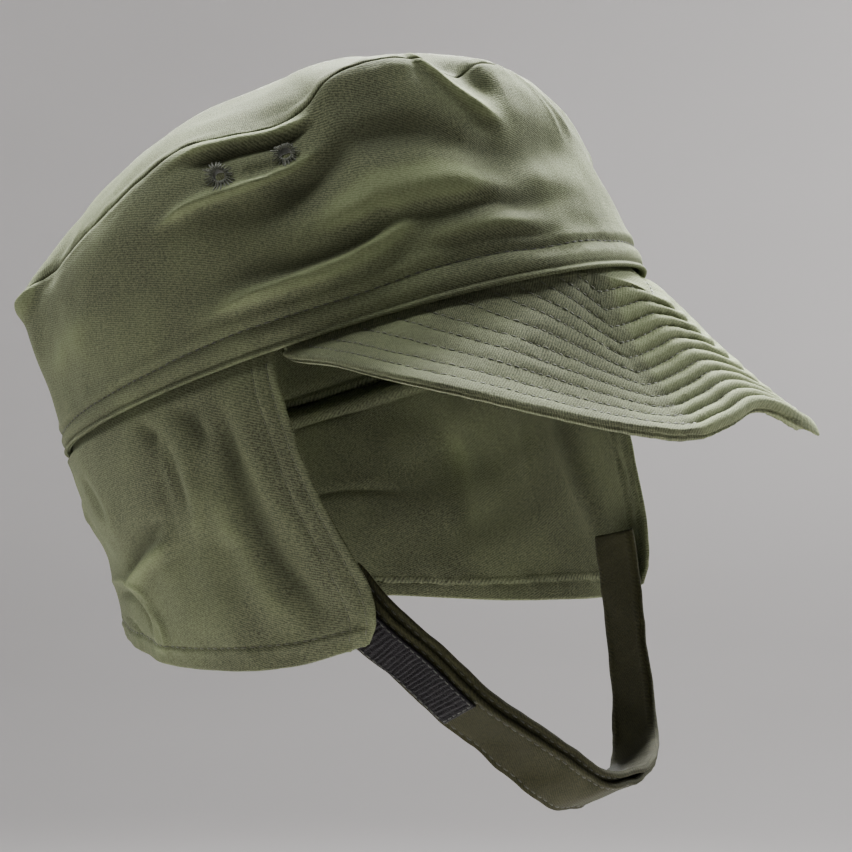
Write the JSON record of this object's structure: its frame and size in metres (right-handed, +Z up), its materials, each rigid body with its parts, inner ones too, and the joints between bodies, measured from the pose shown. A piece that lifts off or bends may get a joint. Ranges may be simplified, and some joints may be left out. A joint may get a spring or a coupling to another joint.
{
  "type": "combat cap",
  "caption": "Green twill combat cap with a stitched peak, a neck flap over the ears, side eyelets and a chin strap that closes with hook tape, in its worn form.",
  "frame": {"origin": "centre of the head opening, in the plane of the rim where the band sits on the head", "axes": "-Y to the front, where the peak points; +X to the wearer's left; +Z up, with the wearer's head upright and the rim tipped back by 21 degrees"},
  "size_m": [0.1738, 0.2485, 0.2272],
  "materials": {
    "cap_cloth": "cotton twill, slightly napped",
    "strap_twill": "cotton twill band",
    "hook_tape": "hook tape with crosswise ribs",
    "eyelet_thread": "buttonhole stitch"
  },
  "bodies": {
    "root": {"crown_side": "cap_cloth", "crown_top": "cap_cloth", "peak": "cap_cloth", "neck_flap": "cap_cloth", "chin_strap_right": "strap_twill", "chin_strap_left": "strap_twill", "hook_tape": "hook_tape", "eyelet_right_rear": "eyelet_thread", "eyelet_right_front": "eyelet_thread", "eyelet_left_front": "eyelet_thread", "eyelet_left_rear": "eyelet_thread"}
  },
  "joints": []
}
